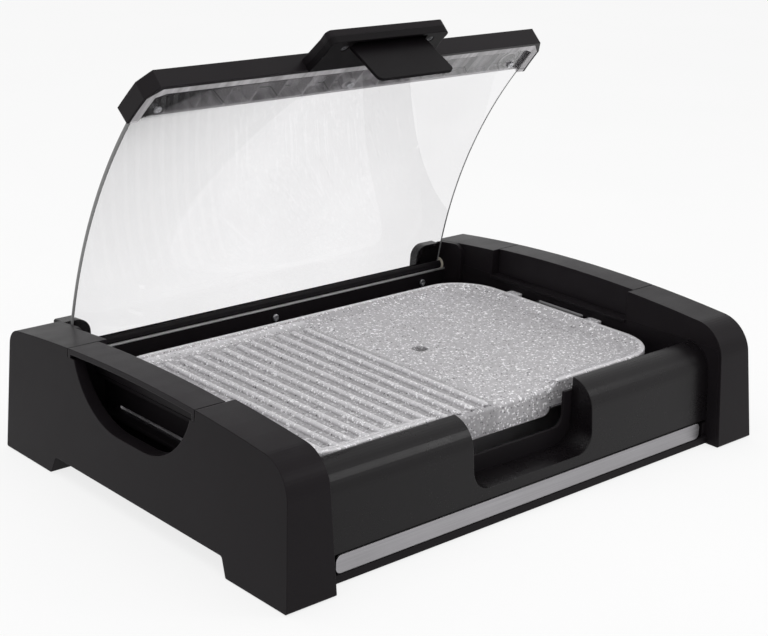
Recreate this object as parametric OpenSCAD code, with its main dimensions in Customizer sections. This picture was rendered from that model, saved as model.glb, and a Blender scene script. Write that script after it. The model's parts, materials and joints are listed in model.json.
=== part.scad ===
// Electric indoor grill with a hinged glass lid
// Millimetres, +Z up, +X to the right, front towards -Y.
// Origin: middle of the footprint, on the surface that the grill stands on.
// The lid is drawn open, as it stands at rest.

/* [Body] */
// Overall width across both end caps, at the floor
body_w = 530; // [500:1:600]
// Overall depth of the end caps, at the floor
body_d = 375; // [360:1:400]
// Height of the end caps at the crest of their arch
cap_h = 115.5; // [112:0.5:125]
// Width of one end cap at the floor
cap_w = 45.5; // [40:0.5:52]
// Wall of the moulded housing parts
wall = 3; // [2.4:0.1:3.6]
// Height of the arch between the front and the rear foot
foot_arch = 16; // [13:0.5:20]
// Length of a foot along the side
foot_l = 70; // [50:1:90]
// How far the rubber pads stand proud of the feet
pad_proud = 1; // [0.6:0.1:1.6]
// Diameter of a rubber pad
pad_d = 18; // [12:1:24]

/* [Hand openings] */
// Length of a hand opening
hand_l = 162; // [130:1:180]
// Height of the floor of a hand opening
hand_floor = 61; // [56:1:70]
// Radius at the front of a hand opening
hand_r = 58; // [30:1:70]
// Radius at the back of a hand opening
hand_rear_r = 72; // [40:1:76]
// How far the middle of the opening lies behind the middle of the body
hand_y = 14; // [0:1:20]
// Skin of the grip bar
grip_t = 4.5; // [3.5:0.1:6]
// Depth of the turned-in flange round the opening
hand_flange = 9; // [6:0.5:12]

/* [Front] */
// How far the front panel lies behind the face of the end caps
panel_set = 13.8; // [10:0.2:18]
// Height of the front panel
panel_h = 88.5; // [86:0.5:94]
// Depth of the front panel from its foot to the wall behind it
panel_deep = 29.5; // [26:0.5:32]
// Radius of the rolled top of the front panel
panel_r = 24; // [16:0.5:28]
// Width of the notch for the lid handle
notch_w = 136; // [126:1:160]
// Height of the floor of that notch
notch_floor = 32; // [28:1:40]
// Width of the cut in the wall behind the notch
inner_notch_w = 118; // [104:1:124]
// Height of the floor of that cut
inner_notch_floor = 47.5; // [45:0.5:60]

/* [Grill plate] */
// Height of the flat cooking surface
plate_z = 75; // [73:0.5:77]
// Thickness of the cast plate
plate_t = 5; // [4:0.5:6]
// How far the rim rises above the cooking surface
rim_rise = 4.4; // [3:0.2:5]
// Gap between the plate and the housing at each side
plate_side_gap = 8.5; // [8:0.5:12]
// Front edge of the plate, behind the inner front wall
plate_front_gap = 15.3; // [14.5:0.1:20]
// Rear edge of the plate, in front of the inner rear wall
plate_rear_gap = 32; // [26:1:40]
// Corner radius of the plate
plate_r = 46; // [35:1:55]
// Distance between the ridges
ridge_pitch = 15; // [12:0.5:20]
// Width of a ridge
ridge_w = 6; // [4:0.5:8]
// Height of a ridge
ridge_h = 3; // [2:0.25:4]
// Diameter of the heating tube
heater_d = 6.6; // [6:0.2:8]
// Distance between the two terminal pins
pin_pitch = 30; // [26:1:34]
// Diameter of a terminal pin
pin_d = 6; // [5:0.5:6.5]
// Bore for the sensor of the temperature control
sensor_d = 7; // [6:0.5:8]

/* [Lid] */
// Thickness of the lid glass
glass_t = 4; // [3:0.5:5]
// How far the top edge of the glass lies behind the front wall when the lid is closed
lid_set = 41; // [40:0.2:50]
// How far the glass bulges between those two
lid_sag = 21.7; // [18:0.1:24]
// Angle through which the lid swings from open to closed
lid_range = 60.5; // [50:0.5:60.5]
// Width of the frame strip along the top edge of the glass
frame_l = 39; // [34:1:44]
// Thickness of that strip on the outer side of the glass
frame_t = 11.5; // [10:0.5:13]
// Width of the lid handle where it meets the frame
handle_w = 132; // [124:1:134]
// How far the handle stands out past the frame
handle_l = 38; // [34:0.5:40]
// Diameter of the hinge rail
rail_d = 10; // [9:0.5:10]
// Diameter of the hinge pins
hinge_pin_d = 5; // [4:0.5:6]

/* [Drip tray] */
// Depth of the drip tray from front to back
tray_l = 290; // [240:1:300]
// Height of the front strip of the tray
strip_h = 14.5; // [12:0.5:15]
// Sheet thickness of the tray and the runners
sheet = 1.2; // [0.8:0.1:1.5]

/* [Hidden] */
$fn = 48;
half_w = body_w / 2;
half_d = body_d / 2;
// Drafts of the mouldings, in mm per mm of height
draft_out = 0.063;
draft_in = 0.02;
draft_front = 0.099;
draft_panel = 0.1;
// A cut runs this far past a face
over = 1;
// Gap at a seam between two moulded parts
seam = 0.3;
// Higher than anything in the housing
tall = cap_h + 20;

// The arch of the end caps
arch_r = 1530;
arch_y = -3;
arch_front_reach = 37.6;
arch_rear_reach = 12.6;
front_r = 31;
rear_r = 13;
foot_rake = 6;
arch_front = asin((half_d - arch_front_reach + arch_y) / arch_r);
arch_rear = asin((half_d - arch_rear_reach - arch_y) / arch_r);
arch_half = (arch_front + arch_rear) / 2;
arch_mid = (arch_rear - arch_front) / 2;
// Below this height the end caps are open towards the well
well_z = 88;

// Grip bars and the openings under them
grip_in = half_w - 35;
grip_seat_z = 105;
grip_end = 4;
grip_seam = 0.9;
grip_y0 = hand_y - hand_l / 2 - grip_end;
grip_y1 = hand_y + hand_l / 2 + grip_end;
side_vent_y = 30;
side_vent_l = 104;
side_vent_h = 5.5;
side_vent_r = 1.5;

// Levels inside the housing
cover_z = pad_proud + wall;
cover_t = 2.5;
sill_h = 8;
sill_t = 3;
rim_h = 20;
upstand_t = 4;
ledge_z = 57;
ledge_in = 6.5;
ledge_out = 12;
ledge_t = 3;
liner_sheet = 1;
plate_clear = 0.3;

// Front and rear walls
panel_y = -half_d + panel_set;
panel_z = 23;
panel_back = panel_y + panel_deep;
inner_wall_t = 2.5;
inner_front = panel_back + inner_wall_t;
notch_r = 17;
inner_notch_r = 10;
inner_wall_top = 77.5;
pocket_wall = 3;

// Hinge and the walls on both sides of it
hinge_y = half_d - 19;
hinge_z = 83;
block_in = half_w - 48;
block_front = 30.5;
block_y = hinge_y - block_front;
block_z = 60;
block_r = 10;
slot_front = 8.5;
slot_rear = 6.5;
rear_wall_y = hinge_y - slot_front;
rear_wall_t = 3;
rear_wall_top = 79;
trim_h = 1.3;
rear_panel_y = hinge_y + slot_rear;
rear_panel_top = 79;
rear_horn_z = 104;
rear_horn_in = block_in - 29;
rear_horn_r = 12;
bush_d = 12;
bush_l = 10;
bush_clear = 0.15;
pin_end = 7;

// Grill plate
plate_w = 2 * (half_w - cap_w - plate_side_gap + draft_in * plate_z);
plate_y0 = inner_front + plate_front_gap;
plate_y1 = rear_wall_y - plate_rear_gap;
plate_l = plate_y1 - plate_y0;
plate_y = (plate_y0 + plate_y1) / 2;
skirt_z = ledge_z + liner_sheet + plate_clear;
skirt_t = 3;
rim_slope = 13;
rim_edge = 4;
ridge_end = 9;
ridge_front = 5;
dip_w = notch_w + 2;
dip_r = 4;
dip_edge_r = 4;
lobe_w = 124;
lobe_z = 51;
lobe_r = 6;
lobe_gap = 1;
ridge_x0 = -plate_w / 2 + 22;
drain_d = 14;
drain_x = 40;
drain_y = 8;
heater_z = plate_z - plate_t - 3.5;
heater_wall = 2.4;
heater_y = 8;
heater_in = 40;
heater_r = 38;
heater_turn = 16;
heater_clear = 0.1;
sensor_l = 70;
boss_d = sensor_d + 6;
shank_d = pin_d - 1.6;
insulator_d = 10;
insulator_l = 7;
pin_l = 26;
guard_t = 1.2;
guard_l = 20;
guard_w = pin_pitch + 26;
guard_rise = 2;
guard_clear = 1.5;
guard_screw_in = 4.8;
guard_screw_down = 3;
guard_screw_l = 6;
ear_w = 15;
ear_gap = 0.5;
ear_l = plate_side_gap - ear_gap;
ear_t = 3;
ear_y = [-38, 62];

// Heat reflector under the plate
liner_in = 7;
liner_flange = 15;
liner_lip = 1.5;
liner_floor = 30;
liner_slot_w = 260;
liner_slot_l = 120;

// Drip tray and its runners
tray_gap = 22;
tray_w = 2 * (half_w - cap_w - tray_gap - sheet);
tray_z = sill_h + 1.5;
tray_flange_z = 20.2;
tray_flange = 7;
tray_r = 10;
strip_y = panel_y + 2;
strip_w = 2 * (half_w - cap_w) - 22;
strip_z = sill_h + 0.4;
strip_r = 5;
runner_clear = 0.3;
runner_foot = 8;
runner_start = 22;
runner_end = 12;

// Lid, drawn about its hinge axis
lid_pitch = 2.9;
lid_chord = (hinge_y - inner_front - lid_set) / cos(lid_pitch);
lid_r = (lid_chord * lid_chord / 4 + lid_sag * lid_sag) / (2 * lid_sag);
lid_half = asin(lid_chord / 2 / lid_r);
deg = 180 / (PI * lid_r);
glass_w = 2 * (block_in - 3);
glass_start = 2.5;
glass_gap = 0.15;
glass_chamfer = 12;
frame_lip = 4.5;
frame_skin = 3;
frame_top = 4;
frame_over = 5;
frame_seat = 5;
frame_rib = 1.6;
frame_rib_pitch = 27;
frame_boss_d = 13;
frame_screw_s = 10;
frame_screw_x = [-1, 0, 1];
frame_screw_in = 20;
handle_top = 5.8;
handle_under = 6.6;
handle_lip_w = 128;
handle_recess_w = 80;
handle_skin = 3;
handle_screw_x = 46.5;
handle_screw_s = 28.7;
apron_w = 82;
apron_t = 2.5;
apron_up = 8;
apron_z = 40;
apron_r = 5;
apron_gap = 3.3;
rim_gap = 1.2;

// Screws
screw_d = 3;
screw_head_d = 7;
screw_head = 2;
screw_clear = 0.1;
case_screw_y = [half_d - 42, -half_d + 26];
rear_screw_z = 70;
rear_screw_x = 186;
rear_boss_d = 9;
rear_screw_l = 15;
screw_l = 8;
vent_row = 90;
vent_step = 30;
vent_reach = 150;
vent_l = 60;
vent_w = 8;
lug_l = 14;
lug_w = 10;
lug_z = 16;

// Helper functions and modules

function unit(v) = v / norm(v);

// Points of one rounded corner, at p1 between p0 and p2
function corner(p0, p1, p2, r) =
  let (u = unit(p0 - p1), v = unit(p2 - p1), half = acos(u * v) / 2)
  let (c = p1 + unit(u + v) * r / sin(half), a = p1 + u * r / tan(half) - c)
  let (b = p1 + v * r / tan(half) - c, start = atan2(a.y, a.x))
  let (sweep = (atan2(b.y, b.x) - start + 540) % 360 - 180)
  let (n = max(1, ceil(abs(sweep) / (2 * acos(1 - 0.04 / r)))))
  [for (i = [0:n]) c + r * [cos(start + sweep * i / n), sin(start + sweep * i / n)]];

// An outline from corner points [x, y, radius]
function rounded(p) =
  let (n = len(p), flat = [for (q = p) [q.x, q.y]])
  [for (i = [0:n - 1]) each p[i].z <= 0 ? [flat[i]] :
    corner(flat[(i + n - 1) % n], flat[i], flat[(i + 1) % n], p[i].z)];

// A rectangle whose corners all have the radius r
function box_outline(x0, y0, x1, y1, r) =
  rounded([[x0, y0, r], [x1, y0, r], [x1, y1, r], [x0, y1, r]]);

// A U-shaped cut of the width w, round at its floor and open at the top
function notch_outline(x, w, floor_z, r) =
  rounded([[x - w / 2, floor_z, r], [x + w / 2, floor_z, r], [x + w / 2, tall, 0], [x - w / 2, tall, 0]]);

// Outline of a hand opening, drawn out by i
function hand_outline(i) =
  let (y0 = hand_y - hand_l / 2 - i, y1 = hand_y + hand_l / 2 + i)
  rounded([[y0, hand_floor - i, hand_r + i], [y1, hand_floor - i, hand_rear_r + i], [y1, tall + hand_rear_r, 0],
    [y0, tall + hand_rear_r, 0]]);

// Extrudes an outline of (y, z) along X
module along_x(x0, x1) {
  translate([x0, 0, 0]) rotate([90, 0, 90]) linear_extrude(x1 - x0) children();
}

// Extrudes an outline of (x, z) along Y
module along_y(y0, y1) {
  translate([0, y1, 0]) rotate([90, 0, 0]) linear_extrude(y1 - y0) children();
}

// Extrudes an outline of (x, y) along Z
module along_z(z0, z1) {
  translate([0, 0, z0]) linear_extrude(z1 - z0) children();
}

module block(x0, y0, z0, x1, y1, z1) {
  translate([x0, y0, z0]) cube([x1 - x0, y1 - y0, z1 - z0]);
}

module mirrored_x() {
  mirror([1, 0, 0]) children();
}

// Runs a section round a rectangle with round corners
// The section's x counts outwards from the centre of a corner
module round_about(w, l, r) {
  for (q = [[1, 1, 0], [-1, 1, 90], [-1, -1, 180], [1, -1, 270]])
    translate([q.x * (w / 2 - r), q.y * (l / 2 - r), 0]) rotate([0, 0, q.z])
      rotate_extrude(angle = 90) children();
  for (q = [[w, l, 0], [l, w, 90], [w, l, 180], [l, w, 270]])
    rotate([0, 0, q.z]) translate([q.x / 2 - r, q.y / 2 - r, 0]) rotate([90, 0, 0])
      linear_extrude(q.y - 2 * r) children();
}

// A screw that points along +Z from the face under its head
module screw(l) {
  translate([0, 0, -screw_head]) cylinder(h = screw_head, d = screw_head_d);
  cylinder(h = l, d = screw_d);
}

// Housing

function cap_in(z) = half_w - cap_w + draft_in * z;
function cap_out(z) = half_w - draft_out * z;

function arch_z(y) = cap_h - arch_r + sqrt(arch_r * arch_r - (y - arch_y) * (y - arch_y));

// Side outline of an end cap, drawn in by i
function cap_outline(i) =
  let (v = [arch_y, cap_h - arch_r] + (arch_r - i) / cos(arch_half) * [sin(arch_mid), cos(arch_mid)])
  let (yf = -half_d + i, yr = half_d - i, base = pad_proud + i)
  let (zf = (v.y - (v.x - yf) * tan(arch_front)) / (1 - draft_front * tan(arch_front)))
  let (zr = v.y - (yr - v.x) * tan(arch_rear))
  rounded([[yf + draft_front * base, base, 1.5], [-half_d + foot_l - i, base, 1.5],
    [-half_d + foot_l + foot_rake - i, foot_arch + i, 3],
    [half_d - foot_l - foot_rake + i, foot_arch + i, 3], [half_d - foot_l + i, base, 1.5],
    [yr, base, 1.5], [yr, zr, rear_r - i], [v.x, v.y, arch_r - i],
    [yf + draft_front * zf, zf, front_r - i]]);

// Cross-section of an end cap between its drafted faces, drawn in by i at the outer one
module cap_section(i) {
  polygon([[cap_in(0), 0], [half_w - i, 0], [cap_out(tall) - i, tall], [cap_in(tall), tall]]);
}

module cap_form() {
  intersection() {
    along_x(half_w - cap_w, half_w) polygon(cap_outline(0));
    along_y(-half_d, half_d) cap_section(0);
  }
}

module cap_cavity() {
  intersection() {
    along_x(half_w - cap_w - over, half_w) polygon(cap_outline(wall));
    along_y(-half_d, half_d) polygon([[cap_in(0) - over, 0], [half_w - wall, 0],
      [cap_out(tall) - wall, tall], [cap_in(tall) + wall, tall], [cap_in(well_z) + wall, well_z],
      [cap_in(well_z) - over, well_z]]);
  }
}

// The flange round the hand opening and the walls that close the cap beside it
module hand_lining() {
  intersection() {
    cap_form();
    union() {
      along_x(cap_out(grip_seat_z) - hand_flange, half_w)
        polygon(hand_outline(wall));
      for (y = [grip_y0 - wall, grip_y1])
        block(cap_in(well_z) + wall, y, foot_arch + wall, half_w, y + wall, tall);
    }
  }
}

module grip_space() {
  block(half_w - cap_w - over, grip_y0, grip_seat_z, half_w, grip_y1, tall);
  block(half_w - cap_w - over, grip_y0, well_z, grip_in + wall, grip_y1, tall);
}

// The thick rear part of a cap that carries the hinge bush
module hinge_block() {
  along_x(block_in, cap_in(tall) + wall) intersection() {
    polygon(cap_outline(0));
    polygon(rounded([[block_y, block_z, 0], [half_d, block_z, 0], [half_d, arch_z(half_d), 0],
      [block_y, arch_z(block_y), block_r]]));
  }
}

module foot_places() {
  for (y = [-half_d + foot_l / 2 + 4, half_d - foot_l / 2])
    translate([half_w - cap_w / 2, y, 0]) children();
}

module case_screw_places() {
  for (y = case_screw_y)
    translate([cap_in(0) - lug_l / 2, y, cover_z]) children();
}

// Lugs on a side wall that take the screws of the bottom cover
module lugs(gap) {
  for (y = case_screw_y)
    block(cap_in(0) - lug_l - gap, y - lug_w / 2 - gap, cover_z + cover_t, cap_in(0) + over,
      y + lug_w / 2 + gap, lug_z + gap);
}

module cap() {
  difference() {
    union() {
      difference() {
        cap_form();
        cap_cavity();
      }
      hand_lining();
      hinge_block();
    }
    grip_space();
    along_x(grip_in, half_w + over) polygon(hand_outline(0));
    translate([block_in - over, hinge_y, hinge_z]) rotate([0, 90, 0])
      cylinder(h = 2 * bush_l, d = bush_d + 2 * screw_clear);
    foot_places() cylinder(h = pad_proud + 2, d = pad_d + 2 * screw_clear);
  }
}

module left_end_cap() color("#262628") mirrored_x() cap();

module right_end_cap() color("#262628") cap();

// The bar that closes a hand opening: a channel with its open side down
module grip() {
  difference() {
    intersection() {
      cap_form();
      block(grip_in, grip_y0 + grip_seam, well_z, half_w, grip_y1 - grip_seam, tall);
    }
    intersection() {
      along_x(grip_in + wall, half_w) polygon(cap_outline(grip_t));
      block(grip_in, hand_y - hand_l / 2, 0, half_w, hand_y + hand_l / 2, tall);
    }
    block(grip_in + wall, grip_y0, 0, half_w, grip_y1, grip_seat_z);
  }
}

module left_grip() color("#2c2c2e") mirrored_x() grip();

module right_grip() color("#2c2c2e") grip();

// The wall that closes an end cap towards the well, with a ledge for the heat reflector
// and a flange under the grip. Its children give the outline of the opening in it
module side_wall() {
  difference() {
    intersection() {
      union() {
        intersection() {
          along_x(half_w - cap_w, half_w) polygon(cap_outline(wall));
          along_y(-half_d, half_d) polygon([[cap_in(0), 0], [cap_in(0) + wall, 0],
            [cap_in(well_z) + wall, well_z], [cap_in(well_z), well_z]]);
        }
        block(cap_in(0) - ledge_in, grip_y0 + wall, ledge_z - ledge_t, cap_in(0) + ledge_out,
          grip_y1 - wall, ledge_z);
        block(cap_in(0), grip_y0, well_z - seam - wall, grip_in + wall, grip_y1, well_z - seam);
        lugs(0);
      }
      block(0, -half_d, 0, half_w, half_d, well_z);
    }
    along_x(half_w - cap_w - over, half_w) children();
    block(half_w - cap_w - over, grip_y0, well_z - seam, half_w, grip_y1, tall);
    block(block_in - over, block_y, block_z, half_w, half_d, tall);
    case_screw_places() cylinder(h = screw_l + over, d = screw_d + 2 * screw_clear);
  }
}

// The left wall has a long low vent
module left_inner_wall() {
  color("#202022")
  mirrored_x() side_wall() polygon(box_outline(side_vent_y - side_vent_l / 2, ledge_z,
    side_vent_y + side_vent_l / 2, ledge_z + side_vent_h, side_vent_r));
}

// The temperature control reaches the plate through the right wall
module right_inner_wall() {
  color("#202022")
  side_wall() polygon(box_outline(heater_y - guard_w / 2 - guard_clear, ledge_z,
    heater_y + guard_w / 2 + guard_clear, plate_z + guard_rise + guard_clear, guard_clear));
}

// Everything between the two end caps
module between_caps() {
  intersection() {
    children();
    along_y(-half_d, half_d) polygon([[-cap_in(0), 0], [cap_in(0), 0], [cap_in(tall), tall],
      [-cap_in(tall), tall]]);
  }
}

// Section of the front panel with a rolled top, drawn in by i and then open below
function panel_outline(i) =
  let (z0 = panel_z - (i > 0 ? over : 0), y1 = panel_y + 2 * panel_r)
  let (top_y = panel_y + draft_panel * panel_h)
  rounded([[panel_y + draft_panel * z0 + i, z0, 0], [y1, z0, 0], [y1, panel_h - i, 0],
    [top_y + i, panel_h - i, panel_r - i]]);

module front_panel() {
  color("#222224")
  difference() {
    between_caps() intersection() {
      union() {
        along_x(-half_w, half_w) difference() {
          polygon(panel_outline(0));
          polygon(panel_outline(wall));
        }
        intersection() {
          along_x(-half_w, half_w) polygon(panel_outline(0));
          along_y(panel_y, panel_back) polygon(notch_outline(0, notch_w + 2 * pocket_wall,
            notch_floor - pocket_wall, notch_r + pocket_wall));
        }
      }
      block(-half_w, -half_d, 0, half_w, panel_back, tall);
    }
    along_y(panel_y - over, panel_back + over) polygon(notch_outline(0, notch_w, notch_floor, notch_r));
  }
}

module front_inner_wall() {
  color("#1d1d1f")
  difference() {
    between_caps() block(-half_w, panel_back, panel_z, half_w, inner_front, inner_wall_top);
    along_y(panel_back - over, inner_front + over)
      polygon(notch_outline(0, inner_notch_w, inner_notch_floor, inner_notch_r));
  }
}

// Rear outline with a raised horn at each end, drawn in by i
function rear_outline(i) =
  let (x0 = block_in - i, x1 = rear_horn_in + i, z0 = cover_z + cover_t - (i > 0 ? over : 0))
  rounded([[-x0, z0, 0], [x0, z0, 0], [x0, rear_horn_z - i, 2], [x1, rear_horn_z - i, rear_horn_r - i],
    [x1, rear_panel_top - i, 4 + i], [-x1, rear_panel_top - i, 4 + i],
    [-x1, rear_horn_z - i, rear_horn_r - i], [-x0, rear_horn_z - i, 2]]);

module rear_screw_places() {
  for (x = [-rear_screw_x, 0, rear_screw_x])
    translate([x, rear_wall_y, rear_screw_z]) rotate([-90, 0, 0]) children();
}

module rear_panel() {
  color("#222224")
  difference() {
    union() {
      difference() {
        along_y(rear_panel_y, half_d) polygon(rear_outline(0));
        along_y(rear_panel_y + wall, half_d - wall) polygon(rear_outline(wall));
      }
      rear_screw_places() translate([0, 0, rear_wall_t])
        cylinder(h = rear_panel_y - rear_wall_y - rear_wall_t + over, d = rear_boss_d);
    }
    rear_screw_places() cylinder(h = rear_screw_l + over, d = screw_d + 2 * screw_clear);
  }
}

module rear_inner_wall() {
  color("#1d1d1f")
  difference() {
    block(-block_in, rear_wall_y, cover_z + cover_t, block_in, rear_wall_y + rear_wall_t, rear_wall_top);
    rear_screw_places() translate([0, 0, -over])
      cylinder(h = rear_wall_t + 2 * over, d = screw_d + 2 * screw_clear);
  }
}

module rear_trim_strip() {
  color("#c9cacc")
  block(-block_in, rear_wall_y, rear_wall_top, block_in, rear_wall_y + rear_wall_t, rear_wall_top + trim_h);
}

module rear_wall_screws() {
  color("#8c8d90")
  rear_screw_places() screw(rear_screw_l);
}

// A slot along Y with round ends
module slot(l, w) {
  square([w, l - w], center = true);
  for (s = [-1, 1])
    translate([0, s * (l - w) / 2]) circle(d = w);
}

// Rows of cooling slots in the underside
module vent_slots() {
  for (x = [-vent_reach:vent_step:vent_reach], y = [-vent_row, 0, vent_row])
    translate([x, y, 0]) along_z(0, rim_h) slot(vent_l, vent_w);
}

module bottom_cover() {
  color("#1b1b1d")
  difference() {
    between_caps() union() {
      block(-half_w, panel_y + wall, cover_z, half_w, half_d - wall, cover_z + cover_t);
      block(-half_w, panel_y + wall - sill_t, pad_proud + 0.5, half_w, panel_y + wall, sill_h);
      for (s = [-1, 1])
        block(s * (cap_in(0) - wall / 2) - upstand_t / 2, panel_y + wall, cover_z,
          s * (cap_in(0) - wall / 2) + upstand_t / 2, rear_wall_y - over, rim_h);
    }
    vent_slots();
    lugs(seam);
    mirrored_x() lugs(seam);
    for (s = [0, 1])
      mirror([s, 0, 0]) case_screw_places() translate([0, 0, -over])
        cylinder(h = cover_t + 2 * over, d = screw_d + 2 * screw_clear);
  }
}

module case_screws() {
  color("#8c8d90")
  for (s = [0, 1])
    mirror([s, 0, 0]) case_screw_places() screw(screw_l);
}

module rubber_feet() {
  color("#303032")
  for (s = [0, 1])
    mirror([s, 0, 0]) foot_places() cylinder(h = pad_proud + 2, d = pad_d);
}

// A bent strip that carries the flange of the tray
module runner() {
  x0 = tray_w / 2 + 1.5;
  x1 = tray_w / 2 + tray_flange + 2;
  top = tray_flange_z - runner_clear;
  along_y(strip_y + runner_start, strip_y + tray_l - runner_end) polygon([[x1 - sheet, cover_z + cover_t],
    [x1 + runner_foot, cover_z + cover_t], [x1 + runner_foot, cover_z + cover_t + sheet],
    [x1, cover_z + cover_t + sheet], [x1, top], [x0, top], [x0, top - sheet], [x1 - sheet, top - sheet]]);
}

module left_tray_runner() color("#a7a8ab") mirrored_x() runner();

module right_tray_runner() color("#a7a8ab") runner();

module drip_tray() {
  l = tray_l - 2 * tray_flange;
  color("#c4c5c8") {
    translate([0, strip_y + tray_l / 2, 0]) {
      round_about(tray_w, l, tray_r) polygon([[0, tray_z], [tray_r, tray_z],
        [tray_r, tray_flange_z], [tray_r + tray_flange, tray_flange_z],
        [tray_r + tray_flange, tray_flange_z + sheet], [tray_r - sheet, tray_flange_z + sheet],
        [tray_r - sheet, tray_z + sheet], [0, tray_z + sheet]]);
      block(tray_r - tray_w / 2, tray_r - l / 2, tray_z, tray_w / 2 - tray_r, l / 2 - tray_r, tray_z + sheet);
    }
    along_y(strip_y - sheet, strip_y) polygon(box_outline(-strip_w / 2, strip_z, strip_w / 2,
      strip_z + strip_h, strip_r));
  }
}

// Heat reflector: a thin pan with a slot that lets grease fall into the tray
module heat_reflector() {
  r = plate_r - liner_in;
  w = plate_w - 2 * liner_in;
  l = plate_l - 2 * liner_in;
  color("#b9babc")
  intersection() {
    translate([0, plate_y, 0]) {
      round_about(w, l, r) polygon([[0, liner_floor], [r, liner_floor], [r, ledge_z],
        [r + liner_flange, ledge_z], [r + liner_flange, ledge_z + liner_sheet],
        [r - liner_sheet, ledge_z + liner_sheet], [r - liner_sheet, liner_floor + liner_sheet],
        [0, liner_floor + liner_sheet]]);
      along_z(liner_floor, liner_floor + liner_sheet) difference() {
        polygon(box_outline(-w / 2 + r, -l / 2 + r, w / 2 - r, l / 2 - r, 0));
        polygon(box_outline(-liner_slot_w / 2, -liner_slot_l / 2, liner_slot_w / 2, liner_slot_l / 2, 12));
      }
    }
    difference() {
      block(-half_w, plate_y0 - liner_lip, 0, half_w, plate_y1 + liner_lip, tall);
      block(-lobe_w / 2 - lobe_gap, plate_y0 - 2 * liner_lip, lobe_z - lobe_gap, lobe_w / 2 + lobe_gap,
        plate_y0 + skirt_t + lobe_gap, tall);
    }
  }
}

module bush() {
  translate([block_in, hinge_y, hinge_z]) rotate([0, 90, 0]) difference() {
    cylinder(h = bush_l, d = bush_d);
    translate([0, 0, -over]) cylinder(h = bush_l + 2 * over, d = hinge_pin_d + 2 * bush_clear);
  }
}

module left_hinge_bush() color("#d8d2c4") mirrored_x() bush();

module right_hinge_bush() color("#d8d2c4") bush();

// Grill plate

// The rim and the skirt of the plate; x counts from the centre of a corner
module plate_rim() {
  polygon(rounded([[0, plate_z - plate_t, 0], [plate_r - skirt_t, plate_z - plate_t, 0],
    [plate_r - skirt_t, skirt_z, 0], [plate_r, skirt_z, 0], [plate_r, plate_z + rim_rise, 1.5],
    [plate_r - rim_edge, plate_z + rim_rise, 3], [plate_r - rim_edge - rim_slope, plate_z, 8],
    [0, plate_z, 0]]));
}

// Round bars with ball ends, half sunk into the cooking surface
module ridges() {
  r = (ridge_w * ridge_w / 4 + ridge_h * ridge_h) / (2 * ridge_h);
  y0 = plate_y0 + ridge_front;
  y1 = plate_y1 - rim_edge - rim_slope - ridge_end;
  for (x = [ridge_x0:ridge_pitch:-ridge_w])
    translate([x, y0, plate_z + ridge_h - r]) {
      rotate([-90, 0, 0]) cylinder(h = y1 - y0, r = r);
      sphere(r);
      translate([0, y1 - y0, 0]) sphere(r);
    }
}

// Sweeps a section along the loop of the heating tube, from pin to pin
module heater_run(x_end) {
  x1 = plate_w / 2 - heater_in;
  y1 = plate_l / 2 - heater_in;
  xc = x1 - heater_r;
  yc = y1 - heater_r;
  for (s = [-1, 1]) {
    y = heater_y + s * pin_pitch / 2;
    turn_y = y + s * heater_turn;
    translate([0, y, 0]) along_x(x1 + heater_turn, x_end) children();
    translate([x1 + heater_turn, turn_y, 0]) rotate([0, 0, s > 0 ? 180 : 90])
      rotate_extrude(angle = 90) translate([heater_turn, 0]) children();
    translate([x1, 0, 0]) along_y(min(turn_y, plate_y + s * yc), max(turn_y, plate_y + s * yc)) children();
    translate([0, plate_y + s * y1, 0]) along_x(-xc, xc) children();
    translate([xc, plate_y + s * yc, 0]) rotate([0, 0, s > 0 ? 0 : 270])
      rotate_extrude(angle = 90) translate([heater_r, 0]) children();
    translate([-xc, plate_y + s * yc, 0]) rotate([0, 0, s > 0 ? 90 : 180])
      rotate_extrude(angle = 90) translate([heater_r, 0]) children();
  }
  translate([-x1, 0, 0]) along_y(plate_y - yc, plate_y + yc) children();
}

// The cut in the front rim for the lid handle; the ridges stand clear of it
module rim_dip() {
  difference() {
    along_y(plate_y0 - over, plate_y0 + rim_edge + rim_slope) polygon(notch_outline(0, dip_w, plate_z, dip_r));
    ridges();
  }
  along_x(-dip_w / 2 + dip_r, dip_w / 2 - dip_r) difference() {
    translate([plate_y0 - over, plate_z - dip_edge_r]) square([dip_edge_r + over, dip_edge_r + over]);
    translate([plate_y0 + dip_edge_r, plate_z - dip_edge_r]) circle(r = dip_edge_r);
  }
}

module probe_axis(x) {
  translate([x, heater_y, heater_z]) rotate([0, 90, 0]) children();
}

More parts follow.
